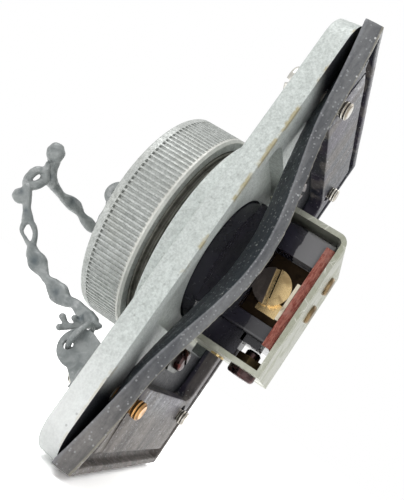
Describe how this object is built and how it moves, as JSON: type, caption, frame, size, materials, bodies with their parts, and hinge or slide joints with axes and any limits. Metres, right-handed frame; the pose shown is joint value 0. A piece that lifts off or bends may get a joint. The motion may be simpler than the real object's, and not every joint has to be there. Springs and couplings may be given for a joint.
{
  "type": "flush electrical receptacle with screw cap",
  "caption": "Wall outlet behind a cast cover plate, with a knurled screw cap on a chain that seals the opening, a rubber box gasket and a rear receptacle in a yoke strap.",
  "frame": {"origin": "middle of the cover plate's back face, which is the mounting face", "axes": "+Z along the plate's long side, towards the end away from the chain lug; the cap faces -Y and the wall box is on the +Y side; +X to the right when the cap is seen from behind the wall"},
  "size_m": [0.0714, 0.0716, 0.116],
  "materials": {
    "cast_paint": "aged light grey paint, speckled",
    "cap_metal": "dull silver grey",
    "chain_paint": "mid blue-grey paint, clogged",
    "rubber": "matte, dusty",
    "phenolic": "glossy black",
    "zinc": "dull zinc plate",
    "screw_steel": "dull plated",
    "brass": "bright",
    "bronze": "brown, aged",
    "fibre": "brick red"
  },
  "bodies": {
    "receptacle": {"cover_plate": "cast_paint", "threaded_collar": "cast_paint", "cover_screws": "screw_steel", "box_gasket": "rubber", "chain_lug": "chain_paint", "receptacle_body": "phenolic", "terminal_block": "phenolic", "receptacle_face": "phenolic", "face_screw": "brass", "line_terminal": "brass", "neutral_terminal": "brass", "line_contact": "brass", "neutral_contact": "brass", "line_terminal_screw": "brass", "neutral_terminal_screw": "brass", "yoke_strap": "zinc", "yoke_screws": "screw_steel", "fibre_insulator": "fibre", "strap_rivets": "bronze", "ground_screw": "brass", "ground_nut": "brass", "ground_eyelet": "brass", "ground_contact": "brass"},
    "cap_stud": {"swivel_eye": "chain_paint", "stud_washer": "screw_steel"},
    "cap": {"screw_cap": "cap_metal", "cap_seal": "rubber"},
    "upper_chain": {"upper_chain_links": "chain_paint"},
    "lower_chain": {"lower_chain_links": "chain_paint", "chain_end_link": "chain_paint", "split_ring": "chain_paint"}
  },
  "joints": [
    {"name": "cap_lift", "type": "slide", "parent": "receptacle", "child": "cap_stud", "axis": [0, -1, 0], "range_m": [0, 0.009]},
    {"name": "cap_turn", "type": "hinge", "parent": "cap_stud", "child": "cap", "pos_m": [0, -0.0264, 0], "axis": [0, -1, 0], "range_deg": [0, 1620]},
    {"name": "upper_chain_swing", "type": "hinge", "parent": "cap_stud", "child": "upper_chain", "pos_m": [0, -0.0386, 0], "axis": [0.9848, 0, 0.1736], "range_deg": [0, 32.2]},
    {"name": "lower_chain_swing", "type": "hinge", "parent": "receptacle", "child": "lower_chain", "pos_m": [0.03005, -0.0128, -0.0376], "axis": [0.9848, 0, 0.1736], "range_deg": [0, 3.15]}
  ],
  "couplings": [
    {"joint": "cap_lift", "follows": "cap_turn", "m_per_rad": 0.00031831},
    {"joint": "upper_chain_swing", "follows": "cap_turn", "ratio": 0.019877},
    {"joint": "lower_chain_swing", "follows": "cap_turn", "ratio": 0.0019444}
  ]
}
